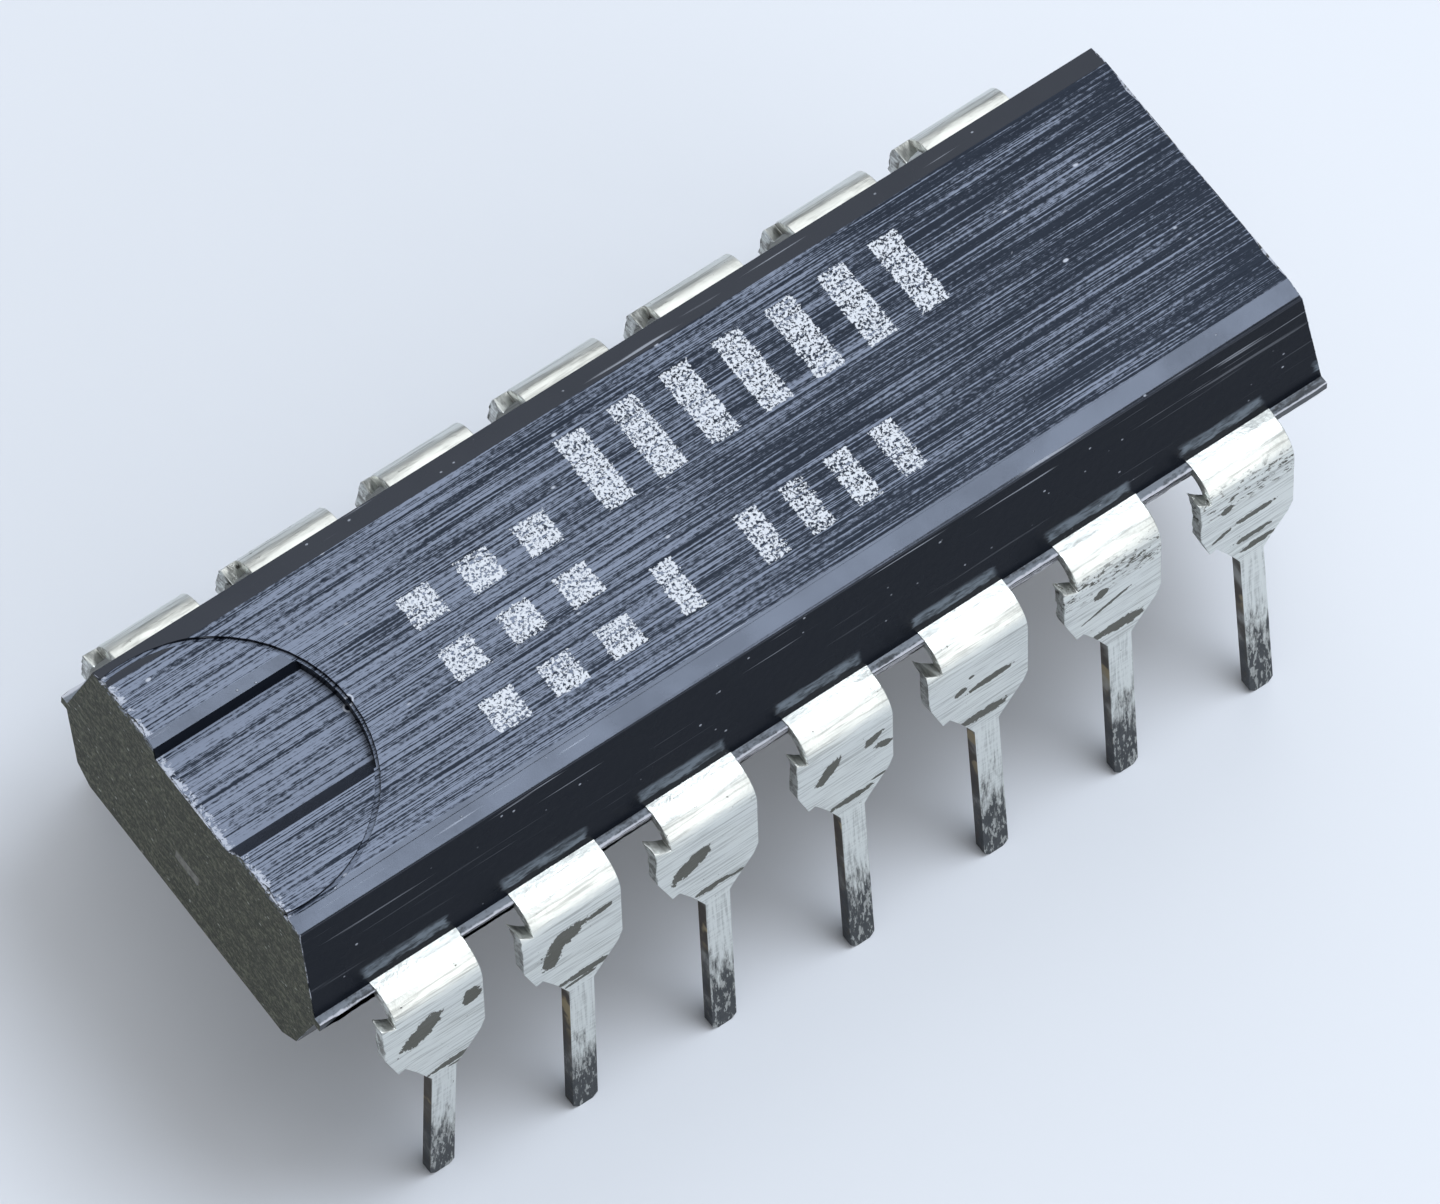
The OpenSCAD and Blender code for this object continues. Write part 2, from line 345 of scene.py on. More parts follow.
    def bump(self, height: Socket, depth_mm: float) -> Socket:
        """Turns a height into a bumped normal.

        Args:
            height: The height, where 1 is the full depth.
            depth_mm: The full depth in millimetres.

        Returns:
            The normal output.
        """
        node = self.tree.nodes.new("ShaderNodeBump")
        node.inputs["Strength"].default_value = 1.0
        node.inputs["Distance"].default_value = depth_mm * MM
        self.tree.links.new(height, node.inputs["Height"])
        return node.outputs["Normal"]


@dataclass(frozen=True)
class GroundResin:
    """The top of the moulding, ground along its length, and with ink the marking on it."""

    name: str = "ground_resin"
    dark: Colour = (0.003, 0.005, 0.011)
    light: Colour = (0.188, 0.218, 0.286)
    speck: Colour = (0.42, 0.45, 0.52)
    ink: Colour = (0.60, 0.63, 0.68)
    # A blue tint for the reflections, which paints bluish surroundings into them.
    painted_reflection_tint: Colour = (0.62, 0.76, 1.0)
    inked: bool = False
    blister: tuple[float, float] = (-6.48, 0.08)
    crumbled: tuple[float, float] = (9.33, 9.38)

    def material(self) -> bpy.types.Material:
        """Builds the finish.

        Returns:
            The material.
        """
        sheet = Sheet(self.name)
        drift = sheet.noise(sheet.place((0.12, 1.4, 1.0)), 1.0, 2.0)
        lines = sheet.noise(sheet.place((0.22, 25.0, 1.0)), 1.0, 2.0, 0.6)
        hairs = sheet.noise(sheet.place((0.45, 48.0, 1.0)), 1.0, 1.0)
        grain = sheet.noise(sheet.place((9.0, 20.0, 20.0)), 1.0, 2.0, 0.65)
        ground = sheet.plus(sheet.calc("MULTIPLY", lines, 0.44), hairs, 0.33)
        mixed = sheet.plus(ground, grain, 0.23)
        mixed = sheet.plus(mixed, sheet.calc("SUBTRACT", drift, 0.5), 0.06)
        # Painted light: the top's tone runs darker towards the +X end and lighter towards the notched end,
        # standing in for the fall-off of the key lamp's sheen along the top.
        mixed = sheet.plus(mixed, sheet.axis("X"), -0.0050)
        tone = sheet.band(mixed, 0.470, 0.570)
        colour = sheet.blend(tone, self.dark, self.light)
        dots = sheet.cells(sheet.place((1.7, 2.9, 2.9)))
        chosen = sheet.noise(sheet.place((1.1, 1.6, 1.6)), 1.7, 1.0)
        specks = sheet.both(sheet.band(dots, 0.11, 0.05), sheet.band(chosen, 0.52, 0.58))
        colour = sheet.blend(specks, colour, self.speck)
        height = sheet.plus(ground, specks, 0.3)
        away = sheet.length(sheet.around((*self.blister, TOP_Z), (0.075, 0.075, 1.0), 0.0))
        colour = sheet.blend(sheet.band(away, 1.25, 1.0), colour, self.speck)
        colour = sheet.blend(sheet.band(away, 0.85, 0.6), colour, self.dark)
        rim = sheet.calc("SUBTRACT", sheet.calc("MULTIPLY", grain, 0.30), sheet.axis("X"))
        crumbs = sheet.band(sheet.noise(sheet.place(), 9.0, 3.0, 0.7), 0.46, 0.54)
        colour = sheet.blend(sheet.both(sheet.band(rim, *self.crumbled), crumbs), colour, self.speck)
        if self.inked:
            edge = sheet.attribute("ink_depth")
            stipple = sheet.noise(sheet.place(), 19.0, 2.0, 0.7)
            worn = sheet.noise(sheet.place((0.5, 7.0, 1.0)), 1.0, 2.0)
            cover = sheet.band(sheet.plus(sheet.plus(stipple, edge, 0.25), worn, 0.26), 0.81, 0.91)
            colour = sheet.blend(cover, colour, self.ink)
            height = sheet.plus(height, cover, 0.35)
        sheet.set("Base Color", colour)
        sheet.set("Roughness", sheet.band(tone, 0.0, 1.0, 0.38, 0.52))
        sheet.set("Specular IOR Level", 0.28)
        # Painted reflection: a blue tint on the resin's reflections, standing in for bluish surroundings.
        sheet.set("Specular Tint", (*self.painted_reflection_tint, 1.0))
        sheet.set("Normal", sheet.bump(height, 0.014))
        return sheet.material


@dataclass(frozen=True)
class MouldedResin:
    """The glossy moulded sides, bevels, notch walls and underside."""

    name: str = "moulded_resin"
    base: Colour = (0.0035, 0.0050, 0.0085)
    fleck: Colour = (0.25, 0.27, 0.31)
    smear: Colour = (0.130, 0.158, 0.190)
    # A blue tint for the reflections, which paints bluish surroundings into them.
    painted_reflection_tint: Colour = (0.72, 0.81, 1.0)
    smear_shift: float = 0.08
    smear_half: tuple[float, float] = (0.82, 0.72)
    smear_foot: tuple[float, float] = (0.22, 0.26)
    smear_head: tuple[float, float] = (0.50, 0.42)

    def material(self) -> bpy.types.Material:
        """Builds the finish.

        Returns:
            The material.
        """
        sheet = Sheet(self.name)
        cloud = sheet.noise(sheet.place(), 0.9, 3.0)
        scratch = sheet.noise(sheet.place((0.30, 7.0, 15.0), (3.0, 0.0, 0.0)), 1.0, 2.0)
        scratch = sheet.band(scratch, 0.66, 0.73)
        high = sheet.band(sheet.axis("Z"), TOP_Z - 0.75, TOP_Z - 0.2, 0.12, 0.95)
        dots = sheet.band(sheet.cells(sheet.place((4.0, 5.5, 5.5))), 0.13, 0.06)
        chosen = sheet.band(sheet.noise(sheet.place(), 2.3, 1.0), 0.56, 0.62)
        flecks = sheet.both(dots, chosen)
        marks = sheet.calc("MAXIMUM", flecks, sheet.both(scratch, high))
        colour = sheet.blend(marks, self.base, self.fleck)
        smeared = sheet.noise(sheet.place((2.2, 7.0, 9.0)), 1.0, 3.0, 0.7)
        stray = sheet.calc("MULTIPLY", sheet.calc("SUBTRACT", smeared, 0.5), 0.30)
        shifted = sheet.calc("ADD", sheet.axis("X"), PITCH / 2 + self.smear_shift)
        across = sheet.calc("SUBTRACT", shifted, sheet.calc("SNAP", shifted, PITCH))
        across = sheet.calc("SUBTRACT", across, PITCH / 2)
        across = sheet.calc("ADD", sheet.calc("ABSOLUTE", across), stray)
        rise = sheet.plus(sheet.axis("Z"), stray, 0.5)
        smear = sheet.band(across, *self.smear_half)
        for start, end in (self.smear_foot, self.smear_head):
            smear = sheet.both(smear, sheet.band(rise, PARTING_Z + start, PARTING_Z + end))
        smear = sheet.both(smear, sheet.band(smeared, 0.34, 0.60, 0.18, 0.95))
        smear = sheet.both(smear, sheet.band(sheet.calc("ABSOLUTE", sheet.facing("Y")), 0.7, 0.9))
        sheet.set("Base Color", sheet.blend(smear, colour, self.smear))
        sheet.set("Roughness", sheet.band(cloud, 0.3, 0.7, 0.20, 0.30))
        # Painted shade: the same resin gets more specular on faces that face up than on the sides and
        # underside, so the bevels show lighter and the sides darker.
        sheet.set("Specular IOR Level", sheet.band(sheet.facing("Z"), 0.35, 0.60, 0.12, 0.47))
        # Painted reflection: a blue tint on the resin's reflections, standing in for bluish surroundings.
        sheet.set("Specular Tint", (*self.painted_reflection_tint, 1.0))
        height = sheet.plus(sheet.noise(sheet.place(), 7.0, 3.0), flecks, 0.8)
        sheet.set("Normal", sheet.bump(height, 0.004))
        return sheet.material


@dataclass(frozen=True)
class ScuffedLedgeWithPaintedSheen:
    """The thin flash along the parting line, scuffed, with painted sheen on its faces that face up and a
    painted highlight along its outer edge.
    """

    name: str = "scuffed_ledge_painted_sheen"
    base: Colour = (0.020, 0.026, 0.034)
    scuff_and_sheen: Colour = (0.155, 0.180, 0.215)
    # The pale outer edge is a painted highlight; worn gives the band across the package where it lies.
    rim: Colour = (0.48, 0.50, 0.56)
    worn: tuple[float, float] = (3.318, 3.342)

    def material(self) -> bpy.types.Material:
        """Builds the finish.

        Returns:
            The material.
        """
        sheet = Sheet(self.name)
        smear = sheet.noise(sheet.place((1.3, 6.0, 6.0)), 1.0, 3.0, 0.6)
        crumbs = sheet.noise(sheet.place(), 14.0, 2.0, 0.7)
        mixed = sheet.plus(sheet.calc("MULTIPLY", smear, 0.7), crumbs, 0.3)
        # Faces that face up; the paler colours below go only on them, as painted sheen and a painted edge
        # highlight.
        up = sheet.band(sheet.facing("Z"), 0.3, 0.6)
        colour = sheet.blend(sheet.both(up, sheet.band(mixed, 0.38, 0.56)), self.base, self.scuff_and_sheen)
        out = sheet.calc("ABSOLUTE", sheet.axis("Y"))
        out = sheet.plus(out, sheet.calc("SUBTRACT", mixed, 0.5), 0.14)
        # Painted highlight: a pale band along the ledge's outer edge, on faces that face up only.
        rim = sheet.both(sheet.band(out, *self.worn), up)
        sheet.set("Base Color", sheet.blend(rim, colour, self.rim))
        sheet.set("Roughness", 0.46)
        sheet.set("Normal", sheet.bump(mixed, 0.02))
        return sheet.material


@dataclass(frozen=True)
class CutResin:
    """The end faces, cut through the resin and its filler, dull and a little olive."""

    name: str = "cut_resin"
    base: Colour = (0.038, 0.041, 0.026)
    fleck: Colour = (0.165, 0.168, 0.115)
    glint: Colour = (0.40, 0.41, 0.36)
    chip: Colour = (0.28, 0.31, 0.37)

    def material(self) -> bpy.types.Material:
        """Builds the finish.

        Returns:
            The material.
        """
        sheet = Sheet(self.name)
        streak = sheet.noise(sheet.place((1.0, 4.5, 15.0), (28.0, 0.0, 0.0)), 1.0, 3.0, 0.65)
        grit = sheet.noise(sheet.place(), 15.0, 3.0, 0.7)
        tone = sheet.plus(sheet.calc("MULTIPLY", streak, 0.40), grit, 0.60)
        colour = sheet.blend(sheet.band(tone, 0.44, 0.66), self.base, self.fleck)
        grains = sheet.cells(sheet.place((5.0, 5.0, 9.0), (28.0, 0.0, 0.0)))
        picked = sheet.band(sheet.noise(sheet.place(), 4.3, 1.0), 0.52, 0.58)
        colour = sheet.blend(sheet.both(sheet.band(grains, 0.20, 0.10), picked), colour, self.glint)
        high = sheet.band(sheet.axis("Z"), TOP_Z - 0.15, TOP_Z - 0.07)
        broken = sheet.band(sheet.noise(sheet.place((6.0, 9.0, 9.0)), 1.0, 3.0, 0.7), 0.51, 0.56)
        colour = sheet.blend(sheet.both(high, broken), colour, self.chip)
        sheet.set("Base Color", colour)
        sheet.set("Roughness", 0.58)
        sheet.set("Specular IOR Level", 0.22)
        sheet.set("Normal", sheet.bump(tone, 0.05))
        return sheet.material


@dataclass(frozen=True)
class ChippedRim:
    """The broken edges of the end faces, where light catches small chips."""

    name: str = "chipped_rim"
    base: Colour = (0.030, 0.034, 0.036)
    chip: Colour = (0.40, 0.43, 0.50)

    def material(self) -> bpy.types.Material:
        """Builds the finish.

        Returns:
            The material.
        """
        sheet = Sheet(self.name)
        broken = sheet.noise(sheet.place((7.0, 9.0, 9.0)), 1.0, 4.0, 0.72)
        sheet.set("Base Color", sheet.blend(sheet.band(broken, 0.42, 0.54), self.base, self.chip))
        sheet.set("Roughness", 0.45)
        sheet.set("Normal", sheet.bump(broken, 0.06))
        return sheet.material


@dataclass(frozen=True)
class Blotch:
    """A dark bare patch in the tin, placed from a lead's centre line.

    Attributes:
        across: Its centre, along the row from the lead's centre, in millimetres.
        z: Its height above the lead tips, in millimetres.
        half_width: Its half width.
        half_height: Its half height.
        turn: Its turn in the face, in degrees.
    """

    across: float
    z: float
    half_width: float
    half_height: float
    turn: float = 0.0


@dataclass(frozen=True)
class WornTin:
    """The leads' bright tin, scratched, with bare patches and tarnish towards the tips."""

    name: str
    centre: float
    side: Side
    blotches: tuple[Blotch, ...] = ()
    flaked: bool = False
    tin: Colour = (0.69, 0.715, 0.69)
    bare: Colour = (0.088, 0.090, 0.078)
    rust: Colour = (0.050, 0.038, 0.026)
    tarnish: Colour = (0.024, 0.029, 0.035)
    stain: Colour = (0.34, 0.27, 0.15)
    bend_z: float = 5.58

    def material(self) -> bpy.types.Material:
        """Builds the finish.

        Returns:
            The material.
        """
        sheet = Sheet(self.name)
        height = sheet.axis("Z")
        on_leg = sheet.band(height, 3.9, 3.4)
        along_row = sheet.noise(sheet.place((0.8, 3.0, 24.0), (0.0, 3.0, 0.0)), 1.0, 3.0, 0.7)
        down_leg = sheet.noise(sheet.place((22.0, 5.0, 0.8), (0.0, 2.0, 0.0)), 1.0, 3.0, 0.7)
        row_rub = sheet.both(along_row, sheet.band(on_leg, 0.0, 1.0, 1.0, 0.35))
        leg_rub = sheet.both(down_leg, sheet.band(on_leg, 0.0, 1.0, 0.0, 0.65))
        rub = sheet.calc("ADD", row_rub, leg_rub)
        pits = sheet.noise(sheet.place(), 10.0, 3.0, 0.7)
        dull = sheet.noise(sheet.place(), 1.6, 3.0)
        shade = tuple(0.62 * value for value in self.tin)
        colour = sheet.blend(sheet.band(rub, 0.46, 0.66), self.tin, shade)
        ragged = sheet.noise(sheet.place(), 4.6, 4.0, 0.66)
        patch: Socket | None = None
        for blotch in self.blotches:
            where = sheet.around(
                (self.centre + blotch.across, self.side.value * 4.0, blotch.z),
                (blotch.half_width, 6.0, blotch.half_height),
                blotch.turn,
            )
            reach = sheet.plus(sheet.plus(sheet.length(where), ragged, 1.5), pits, 1.1)
            spot = sheet.band(reach, 2.40, 2.33)
            patch = spot if patch is None else sheet.calc("MAXIMUM", patch, spot)
        mask = sheet.band(pits, 0.70, 0.74)
        if patch is not None:
            mask = sheet.calc("MAXIMUM", mask, patch)
        if self.flaked:
            flakes = sheet.band(sheet.noise(sheet.place((6.0, 6.0, 15.0)), 1.0, 3.0, 0.7), 0.55, 0.60)
            from_bend = sheet.calc("ABSOLUTE", sheet.calc("SUBTRACT", height, self.bend_z))
            mask = sheet.calc("MAXIMUM", mask, sheet.both(flakes, sheet.band(from_bend, 0.40, 0.15)))
        colour = sheet.blend(mask, colour, self.bare)
        cut = sheet.calc("ABSOLUTE", sheet.facing("X"))
        cut_side = sheet.both(sheet.band(cut, 0.6, 0.85), sheet.band(dull, 0.30, 0.52, 0.55, 1.0))
        mottle = sheet.band(sheet.noise(sheet.place(), 5.5, 3.0, 0.7), 0.44, 0.58)
        shown = sheet.calc("MAXIMUM", on_leg, sheet.calc("MULTIPLY", mottle, 0.6))
        cut_side = sheet.both(cut_side, shown)
        streaks = sheet.noise(sheet.place((9.0, 6.0, 1.3)), 1.0, 4.0, 0.7)
        reach_up = sheet.plus(height, streaks, 4.5)
        bright = sheet.band(sheet.noise(sheet.place((15.0, 9.0, 3.5)), 1.0, 3.0, 0.7), 0.52, 0.60, 0.97, 0.50)
        low = sheet.both(sheet.band(reach_up, 4.6, 3.3), bright)
        colour = sheet.blend(cut_side, colour, self.rust)
        stained = sheet.both(sheet.band(sheet.noise(sheet.place(), 2.1, 2.0), 0.52, 0.60), cut_side)
        stained = sheet.both(stained, sheet.band(height, 2.0, 2.8))
        colour = sheet.blend(sheet.both(stained, on_leg), colour, self.stain)
        colour = sheet.blend(low, colour, self.tarnish)
        dark = sheet.calc("MAXIMUM", cut_side, low)
        covered = sheet.calc("MAXIMUM", mask, dark)
        sheet.set("Base Color", colour)
        sheet.set("Metallic", sheet.band(covered, 0.0, 1.0, 1.0, 0.30))
        sheet.set("Specular IOR Level", sheet.band(covered, 0.0, 1.0, 0.5, 0.2))
        sheet.set("Roughness", sheet.plus(sheet.band(dull, 0.3, 0.7, 0.30, 0.42), covered, 0.12))
        relief = sheet.plus(sheet.calc("MULTIPLY", rub, 0.5), pits, 0.6)
        relief = sheet.calc("SUBTRACT", relief, sheet.calc("MULTIPLY", mask, 0.5))
        sheet.set("Normal", sheet.bump(relief, 0.012))
        return sheet.material


@dataclass(frozen=True)
class PlainFinish:
    """A lightly grained finish for the pieces sealed inside, and for the cut tie bar."""

    name: str
    colour: Colour
    metallic: float
    roughness: float

    def material(self) -> bpy.types.Material:
        """Builds the finish.

        Returns:
            The material.
        """
        sheet = Sheet(self.name)
        grain = sheet.noise(sheet.place(), 9.0, 3.0, 0.6)
        shade = tuple(0.6 * value for value in self.colour)
        sheet.set("Base Color", sheet.blend(sheet.band(grain, 0.35, 0.65), shade, self.colour))
        sheet.set("Metallic", self.metallic)
        sheet.set("Roughness", self.roughness)
        sheet.set("Normal", sheet.bump(grain, 0.01))
        return sheet.material


def lead_side(number: int) -> Side:
    """Gives the row that a lead stands in.

    Args:
        number: The lead's number, from 1.

    Returns:
        The row.
    """
    return Side.NEAR if number <= PER_ROW else Side.FAR


def lead_centre(number: int) -> float:
    """Gives a lead's centre along the row.

    Args:
        number: The lead's number, from 1.

    Returns:
        The centre's X, in millimetres.
    """
    if lead_side(number) is Side.NEAR:
        return (number - (PER_ROW + 1) / 2) * PITCH
    return (1.5 * PER_ROW + 0.5 - number) * PITCH


def opened(node: str) -> bmesh.types.BMesh:
    """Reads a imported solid's mesh in millimetres, joined at its seams.

    Args:
        node: The solid's name.

    Returns:
        The merged mesh.
    """
    mesh = bmesh.new()
    mesh.from_mesh(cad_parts[node].data)
    bmesh.ops.scale(mesh, vec=Vector((1.0, 1.0, 1.0)) / MM, verts=mesh.verts)
    bmesh.ops.remove_doubles(mesh, verts=mesh.verts, dist=WELD_DISTANCE)
    return mesh


def merge_flats(mesh: bmesh.types.BMesh) -> None:
    """Joins the triangles of each flat face into one face.

    Args:
        mesh: The mesh.
    """
    bmesh.ops.dissolve_limit(
        mesh,
        angle_limit=math.radians(FLAT_ANGLE),
        use_dissolve_boundaries=False,
        verts=mesh.verts,
        edges=mesh.edges,
    )


def sharp_edges(
    mesh: bmesh.types.BMesh, angle: float, wanted: Callable[[bmesh.types.BMEdge], bool]
) -> list[bmesh.types.BMEdge]:
    """Picks the edges at which two faces meet at more than an angle.

    Args:
        mesh: The mesh.
        angle: The least angle, in degrees.
        wanted: A further test of an edge.

    Returns:
        The edges.
    """
    limit = math.radians(angle)
    return [e for e in mesh.edges if e.is_manifold and e.calc_face_angle(0.0) > limit and wanted(e)]


def middle(edge: bmesh.types.BMEdge) -> Vector:
    """Gives the middle of an edge.

    Args:
        edge: The edge.

    Returns:
        The middle.
    """
    return (edge.verts[0].co + edge.verts[1].co) / 2


def rounded(mesh: bmesh.types.BMesh, edges: list[bmesh.types.BMEdge], radius: float) -> None:
    """Rounds edges.

    Args:
        mesh: The mesh.
        edges: The edges to round.
        radius: How far from the edge the rounding starts, in millimetres.
    """
    bmesh.ops.bevel(
        mesh,
        geom=edges,
        offset=radius,
        offset_type="OFFSET",
        segments=ROUND_SEGMENTS,
        profile=0.5,
        affect="EDGES",
        clamp_overlap=True,
        material=-1,
    )


def finished(
    mesh: bmesh.types.BMesh,
    name: str,
    materials: Iterable[bpy.types.Material],
    crisp: tuple[float, float] = (CRISP_ANGLE, CRISP_ANGLE),
) -> bpy.types.Object:
    """Turns a mesh in millimetres into a piece of the scene that rides on the part.

    Args:
        mesh: The mesh, which is freed.
        name: The piece's name.
        materials: Its materials, in order.
        crisp: A range of edge angles, in degrees, that stay crisp besides the large ones.

    Returns:
        The piece.
    """
    for face in mesh.faces:
        face.smooth = True
    for edge in mesh.edges:
        turn = math.degrees(edge.calc_face_angle(0.0)) if edge.is_manifold else 180.0
        edge.smooth = not (turn > CRISP_ANGLE or crisp[0] < turn < crisp[1])
    bmesh.ops.scale(mesh, vec=Vector((1.0, 1.0, 1.0)) * MM, verts=mesh.verts)
    data = bpy.data.meshes.new(name)
    mesh.to_mesh(data)
    mesh.free()
    piece = bpy.data.objects.new(name, data)
    bpy.context.scene.collection.objects.link(piece)
    for material in materials:
        data.materials.append(material)
    weighting = piece.modifiers.new("even_normals", "WEIGHTED_NORMAL")
    weighting.keep_sharp = True
    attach(piece, "root")
    return piece


@dataclass
class PackageBody:
    """The moulded body: its outer skin, rounded edges, ragged ledge and chipped end rims."""

    half_top: float = 9.31
    half_width: float = 3.24
    ledge: float = 3.36
    draft: float = 17.0
    plug_depth: float = 0.3
    rim_radius: float = 0.085
    rim_reach: float = 0.12
    rim_cuts: int = 15
    rim_facing: float = 0.12
    end_facing: float = 0.93
    top_facing: float = 0.985
    flat_area: float = 0.3
    edge_radius: float = 0.050
    ledge_step: float = 0.09
    ledge_ragged: float = 0.022
    end_ragged: float = 0.055
    crisp: tuple[float, float] = (6.0, 17.5)

    def _inside(self, centre: Vector, normal: Vector) -> bool:
        """Tells whether a face belongs to a sealed cavity.

        Args:
            centre: The face's centre.
            normal: Its normal.

        Returns:
            True for a cavity's wall.
        """
        rise = abs(centre.z - PARTING_Z)
        if abs(normal.x) > 0.9 and abs(centre.x) < self.half_top - 0.1 and rise < 0.15:
            return True
        side = self.half_width - rise * math.tan(math.radians(self.draft))
        return (
            abs(centre.y) < side - 0.02
            and BOTTOM_Z + 0.12 < centre.z < TOP_Z - 0.31
            and abs(centre.x) < self.half_top - 0.02
        )

    def _skin(self) -> bmesh.types.BMesh:
        """Takes the solid's outer skin and closes it behind the leads and tie bars.

        Returns:
            The closed skin.
        """
        mesh = opened("package_body")
        inner = [f for f in mesh.faces if self._inside(f.calc_center_median(), f.normal)]
        bmesh.ops.delete(mesh, geom=inner, context="FACES")
        rim = [e for e in mesh.edges if e.is_boundary and abs(middle(e).x) > self.half_top - 0.2]
        pushed = bmesh.ops.extrude_edge_only(mesh, edges=rim)["geom"]
        for vert in (v for v in pushed if isinstance(v, bmesh.types.BMVert)):
            vert.co.x -= math.copysign(self.plug_depth, vert.co.x)
        bmesh.ops.holes_fill(mesh, edges=[e for e in mesh.edges if e.is_boundary], sides=0)
        merge_flats(mesh)
        return mesh

    def _break_ledge(self, mesh: bmesh.types.BMesh) -> None:
        """Makes the ledge's outer edge ragged between the leads.

        Args:
            mesh: The body's mesh.
        """
        long_edges = [
            e
            for e in mesh.edges
            if min(abs(v.co.y) for v in e.verts) > self.ledge - 0.01 and e.calc_length() > 0.4
        ]
        for edge in long_edges:
            cuts = max(2, int(edge.calc_length() / self.ledge_step))
            bmesh.ops.bisect_edges(mesh, edges=[edge], cuts=cuts)
        for vert in mesh.verts:
            if abs(vert.co.y) > self.ledge - 0.01 and abs(vert.co.x) < self.half_top:
                shift = noise.fractal(Vector((vert.co.x * 1.9, vert.co.y, 0.4 * vert.co.z)), 0.8, 2.0, 4)
                vert.co.y += math.copysign(self.ledge_ragged * shift, vert.co.y)

    def _chip_rims(self, mesh: bmesh.types.BMesh) -> None:
        """Cuts the rounded rims of the end faces up and chips them by small uneven amounts.

        A point that borders one large flat face slides within it, and one that borders two
        stays, so that these faces stay flat.

        Args:
            mesh: The body's mesh, with its rims rounded.
        """
        reach = self.half_top - self.rim_reach
        runs = [
            e
            for e in mesh.edges
            if min(abs(v.co.x) for v in e.verts) > reach
            and abs(e.verts[0].co.x - e.verts[1].co.x) < 0.3 * e.calc_length()
            and e.calc_length() > 0.3
            and abs(middle(e).y) < self.ledge - 0.15
        ]
        bmesh.ops.subdivide_edges(mesh, edges=runs, cuts=self.rim_cuts, use_grid_fill=True)
        mesh.normal_update()
        flats = {f: f.normal.copy() for f in mesh.faces if f.calc_area() > self.flat_area}
        rim = [
            v
            for v in mesh.verts
            if abs(v.co.x) > reach
            and any(self.rim_facing < abs(f.normal.x) < self.end_facing for f in v.link_faces)
        ]
        for vert in rim:
            wobble = noise.noise(vert.co * 4.3) + 0.6 * noise.noise(vert.co * 11.0)
            dent = self.end_ragged * max(0.0, wobble + 0.2)
            inward = -math.copysign(dent, vert.co.x)
            move = Vector((inward, 0.0, -math.copysign(0.5 * dent, vert.co.z - PARTING_Z)))
            walls = [flats[f] for f in vert.link_faces if f in flats]
            if len(walls) < 2:
                for wall in walls:
                    move -= move.dot(wall) * wall
                vert.co += move

    def _skin_of(self, face: bmesh.types.BMFace) -> Skin:
        """Tells which of the body's finishes a face takes.

        Args:
            face: The face.

        Returns:
            The finish.
        """
        centre = face.calc_center_median()
        along = abs(face.normal.x)
        if along > self.end_facing and abs(centre.x) > self.half_top - self.rim_reach:
            return Skin.CUT
        if along > self.rim_facing and abs(centre.x) > self.half_top - self.rim_reach - 0.02:
            return Skin.CHIPPED
        if centre.z > TOP_Z - 0.4 and face.normal.z > self.top_facing:
            return Skin.GROUND
        return Skin.LEDGE if abs(centre.y) > self.half_width + 0.02 else Skin.MOULDED

    def build(self) -> bpy.types.Object:
        """Builds and dresses the body.

        Returns:
            The piece that stands for the solid.
        """
        mesh = self._skin()
        self._break_ledge(mesh)
        rims = sharp_edges(
            mesh,
            40.0,
            lambda e: abs(middle(e).y) < self.ledge - 0.2
            and min(abs(v.co.x) for v in e.verts) > self.half_top - 0.02
            and abs(middle(e).z - PARTING_Z) > 0.3,
        )
        rounded(mesh, rims, self.rim_radius)
        lines = sharp_edges(
            mesh,
            25.0,
            lambda e: abs(middle(e).y) < self.ledge - 0.2
            and e.calc_length() > 5.0
            and middle(e).z < PARTING_Z + 1.9
            and abs(middle(e).z - PARTING_Z) > 0.3,
        )
        rounded(mesh, lines, self.edge_radius)
        mesh.normal_update()
        self._chip_rims(mesh)
        bmesh.ops.recalc_face_normals(mesh, faces=mesh.faces)
        for face in mesh.faces:
            face.material_index = self._skin_of(face)
        kinds = {
            Skin.GROUND: GroundResin,
            Skin.MOULDED: MouldedResin,
            Skin.CUT: CutResin,
            Skin.LEDGE: ScuffedLedgeWithPaintedSheen,
            Skin.CHIPPED: ChippedRim,
        }
        finishes = [kinds[skin]().material() for skin in Skin]
        piece = finished(mesh, "moulded_body", finishes, self.crisp)
        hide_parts("package_body")
        return piece


@dataclass(frozen=True)
class BlockRow:
    """A row of equal printed blocks, with its sizes in millimetres.

    Attributes:
        x: The first block's centre along the package, from its notched end.
        y: The row's centre across the package.
        step: From one block's centre to the next.
        count: How many blocks the row has.
        width: A block's size along the package.
        height: A block's size across the package.
    """

    x: float
    y: float
    step: float
    count: int
    width: float
    height: float


